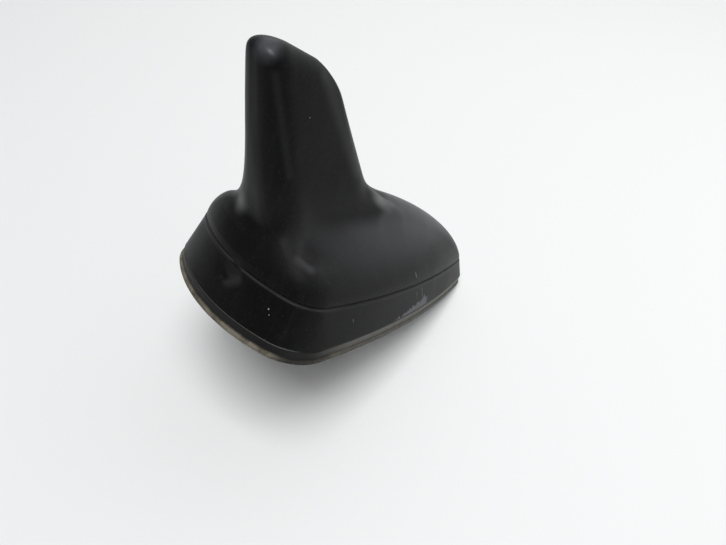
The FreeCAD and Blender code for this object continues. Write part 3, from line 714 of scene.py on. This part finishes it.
def cover_look():
    """Satin black moulding, weathered, rubbed and dusty, with painted highlights, sheen and shade."""
    g = Graph("cover_skin")
    tones = COVER_TONES
    haze = g.span(g.noise(48, 4.0), 0.42, 0.72)
    nose = nose_haze_and_sheen(g)
    tip_patch = tip_wear_and_highlight(g)
    marks = scuffs(g)
    # lower edge of the skirt: painted shade in the joint towards the nose, a painted highlight at the rear
    hem = g.fade(g.z, 4.05, 3.85)
    joint = g.times(hem, g.fade(g.x, -26, -12))
    hem_highlight = g.times(hem, g.fade(g.x, -42, -48))
    fine_dust = g.span(g.noise(1900, 2.0), 0.56, 0.8, high=0.35)
    # Among these coats the nose and tip coats are partly painted sheen and highlight, the joint coat is
    # painted shade, and the sink, foot, edge, groove-lip, hem and knock coats are painted highlights
    color = g.coats(tones["moulding"], [
        (g.times(haze, 0.5), tones["haze"]),
        (g.times(streaks(g), 0.2), tones["streaks"]),
        # nose coat: weathering with a painted sheen
        (g.times(nose, g.span(haze, 0.0, 1.0, low=0.85)), tones["nose"]),
        (sink_highlight_ring(g), tones["sink_highlight_ring"]),
        (sink_rim_highlight(g), tones["sink_rim_highlight"]),
        (foot_highlights(g), tones["foot_highlights"]),
        (back_edge_highlight(g, -1), tones["back_edge_highlight"]),
        (front_edge_highlight(g, -1), tones["front_edge_highlight"]),
        (back_edge_highlight(g, 1), tones["back_edge_highlight"]),
        (front_edge_highlight(g, 1), tones["front_edge_highlight"]),
        (tip_patch, tones["tip_wear_and_highlight"]),
        (groove_lip_highlight(g), tones["groove_lip_highlight"]),
        (joint, tones["joint"]),
        (hem_highlight, tones["hem_highlight"]),
        (g.times(marks, 0.55), tones["scuffs"]),
        (knock_ledge_highlight(g), tones["knock"]),
        (rubbed_strip(g), tones["rubbed"]),
        (fine_dust, tones["fine_dust"]),
        (specks(g), tones["specks"]),
    ])
    grain = g.noise(2600, 2.0)
    uneven = g.total(g.times(haze, 0.06), g.times(grain, 0.06))
    dull = g.spot((-46.6, -15.0, 24.8), reach=11.0, soft=1.0)
    rough = g.total(uneven, 0.33, g.times(tip_patch, -0.06), g.times(dull, 0.2))
    gloss = g.fade(g.z, 32, 44, low=0.09, high=0.06)
    spec = g.blend(g.most(tip_patch, marks, g.times(nose, 0.6)), gloss, 0.2)
    wave = g.bump(g.noise(70, 2.0), 0.25, 0.6 * MM)
    return g.finish(color, rough, spec=spec, normal=g.bump(grain, 0.12, 0.12 * MM, wave))


SEAL_TONES = {
    "rubber": (0.005, 0.005, 0.005), "dust": (0.026, 0.026, 0.024), "pale_coat": (0.09, 0.087, 0.075),
    "dirt": (0.16, 0.145, 0.113), "crumbs": (0.42, 0.39, 0.33),
}


def seal_look():
    """Black rubber, with dry dirt on the lip at the rear and an even grey film further forward."""
    g = Graph("seal_rubber")
    mottle = g.noise(420, 4.0)
    fore = g.fade(g.x, -42, -22)
    clean = g.spot((-41.0, -27.0, 0.6), reach=12.0, soft=0.6)
    dirt = g.times(g.fade(g.z, 1.9, 1.2), g.span(mottle, 0.3, 0.6, low=0.45))
    dirt = g.times(dirt, g.span(clean, 0.0, 1.0, low=1.0, high=0.12))
    dirt = g.times(dirt, g.span(fore, 0.0, 1.0, low=1.0, high=0.0))
    # the very bottom of the lip has little film
    pale_coat = g.times(fore, g.span(mottle, 0.3, 0.65, low=0.75), g.fade(g.z, 0.4, 1.6, low=0.25))
    crumbs = g.span(g.noise(1500, 2.0), 0.64, 0.72)
    dust = g.span(g.noise(90, 3.0), 0.3, 0.75, high=0.25)
    tones = SEAL_TONES
    color = g.coats(tones["rubber"], [
        (dust, tones["dust"]),
        (pale_coat, tones["pale_coat"]),
        (dirt, tones["dirt"]),
        (g.times(crumbs, dirt), tones["crumbs"]),
    ])
    rough = g.total(g.times(dirt, 0.35), 0.45)
    return g.finish(color, rough, spec=0.15, normal=g.bump(mottle, 0.3, 0.2 * MM))


def plain_look(name, color, other, rough, metal=0.0, scale=300):
    """Two close tones, uneven gloss and a fine grain."""
    g = Graph(name)
    shade = g.mix(g.span(g.noise(scale, 4.0), 0.35, 0.7), color, other)
    gloss = g.span(g.noise(scale * 3, 3.0), 0.3, 0.7, rough - 0.07, rough + 0.09)
    normal = g.bump(g.noise(scale * 8, 2.0), 0.15, 0.08 * MM)
    return g.finish(shade, gloss, metal, normal=normal)


def table_look():
    """White, with painted light falloff that leaves it a little darker near and left, and clear when seen
    from below.
    """
    g = Graph("table")
    way = (RIGHT * 0.6 + FAR * 0.8).normalized()
    slope = g.vec("DOT_PRODUCT", g.place, tuple(way))
    g.finish(g.mix(g.span(slope, *TABLE_SPAN), *TABLE_TONES), 0.55, spec=0.3)
    both = g.add("ShaderNodeMixShader")
    g.put(both.inputs[0], g.add("ShaderNodeNewGeometry").outputs["Backfacing"])
    g.put(both.inputs[1], g.shader.outputs[0])
    g.put(both.inputs[2], g.add("ShaderNodeBsdfTransparent").outputs[0])
    g.put(g.tree.nodes["Material Output"].inputs["Surface"], both.outputs[0])
    return g.mat


LOOKS = {
    "cover_skin": cover_look(),
    "seal_rubber": seal_look(),
    "cast_alloy": plain_look("cast_alloy", (0.42, 0.42, 0.43), (0.5, 0.5, 0.5), 0.5, 1.0, 500),
    "stud_steel": plain_look("stud_steel", (0.5, 0.5, 0.48), (0.62, 0.6, 0.55), 0.34, 1.0, 240),
    "bush_rubber": plain_look("bush_rubber", (0.012, 0.012, 0.012), (0.024, 0.023, 0.022), 0.6),
    "board": plain_look("board", (0.012, 0.09, 0.03), (0.016, 0.11, 0.038), 0.4, 0.0, 700),
    "pad_foam": plain_look("pad_foam", (0.5, 0.5, 0.48), (0.58, 0.57, 0.54), 0.8, 0.0, 900),
    "patch_ceramic": plain_look("patch_ceramic", (0.6, 0.56, 0.48), (0.66, 0.62, 0.55), 0.5),
    "contact_brass": plain_look("contact_brass", (0.7, 0.5, 0.2), (0.76, 0.56, 0.26), 0.3, 1.0),
    "shield_sheet": plain_look("shield_sheet", (0.62, 0.62, 0.6), (0.7, 0.7, 0.68), 0.28, 1.0),
    "chip_black": plain_look("chip_black", (0.015, 0.015, 0.016), (0.025, 0.025, 0.026), 0.5),
    "screw_steel": plain_look("screw_steel", (0.45, 0.45, 0.46), (0.55, 0.55, 0.54), 0.32, 1.0),
}
WEARS = {
    "roof_seal": "seal_rubber", "base_plate": "cast_alloy", "cable_bush": "bush_rubber",
    "main_board": "board", "fin_board": "board", "patch_pad": "pad_foam",
    "patch_aerial": "patch_ceramic", "feed_pin": "contact_brass", "shield_frame": "shield_sheet",
    "shield_lid": "shield_sheet", "amplifier_chip": "chip_black", "filter_chip": "chip_black",
    "phone_socket": "contact_brass", "position_socket": "contact_brass",
    "cover_screws": "screw_steel", "board_screws": "screw_steel",
}


# Stage
def table():
    """Table under the nose and the end of the stud."""
    bm = bmesh.new()
    bmesh.ops.create_grid(bm, x_segments=1, y_segments=1, size=TABLE_HALF)
    nose = Matrix.Translation((BASE["front"] * MM, 0, -TABLE_DROP))
    bmesh.ops.transform(bm, matrix=nose @ Matrix.Rotation(-LEAN, 4, "Y"), verts=bm.verts)
    obj = linked("table", bm)
    obj.data.materials.append(table_look())


def room():
    """Even soft light from all round, darker behind the camera."""
    world = bpy.data.worlds.new("room")
    bpy.context.scene.world = world
    world.use_nodes = True
    tree = world.node_tree
    sky = tree.nodes["Background"]
    sky.inputs["Color"].default_value = ROOM_TONE
    way = tree.nodes.new("ShaderNodeTexCoord")
    toward = tree.nodes.new("ShaderNodeVectorMath")
    toward.operation = "DOT_PRODUCT"
    toward.inputs[1].default_value = ROOM_DARK_WAY
    fade = tree.nodes.new("ShaderNodeMapRange")
    fade.interpolation_type = "SMOOTHSTEP"
    for socket, value in zip(list(fade.inputs)[1:5], ROOM_FADE):
        socket.default_value = value
    tree.links.new(way.outputs["Generated"], toward.inputs[0])
    tree.links.new(toward.outputs["Value"], fade.inputs[0])
    tree.links.new(fade.outputs[0], sky.inputs["Strength"])


def lamp():
    """Weak square lamp overhead, a little to the camera's side."""
    data = bpy.data.lights.new("lamp", "AREA")
    data.shape = "SQUARE"
    data.size = LAMP_SIZE
    data.energy = LAMP_WATTS
    level = (FAR - UP * FAR.dot(UP)).normalized()
    obj = bpy.data.objects.new("lamp", data)
    obj.location = LAMP_AIM + (UP * 0.95 - level * 0.3 + RIGHT * 0.05) * LAMP_AWAY
    obj.rotation_mode = "QUATERNION"
    obj.rotation_quaternion = (LAMP_AIM - obj.location).to_track_quat("-Z", "Y")
    bpy.context.collection.objects.link(obj)


def photo_camera():
    data = bpy.data.cameras.new("camera")
    data.sensor_width = SENSOR
    data.sensor_fit = "HORIZONTAL"
    data.lens = FOCAL_PX / PHOTO_WIDE_PX * SENSOR
    data.clip_start = CAMERA_NEAR
    obj = bpy.data.objects.new("camera", data)
    obj.matrix_world = Matrix.Translation(CAMERA_PLACE) @ CAMERA_AXES.to_4x4()
    bpy.context.collection.objects.link(obj)
    bpy.context.scene.camera = obj


cover_shell().data.materials.append(LOOKS["cover_skin"])
stud_threaded().data.materials.append(LOOKS["stud_steel"])
for node, look in WEARS.items():
    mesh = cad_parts[node].data
    mesh.materials.clear()
    mesh.materials.append(LOOKS[look])
table()
room()
lamp()
photo_camera()
bpy.context.scene.view_settings.view_transform = "Standard"
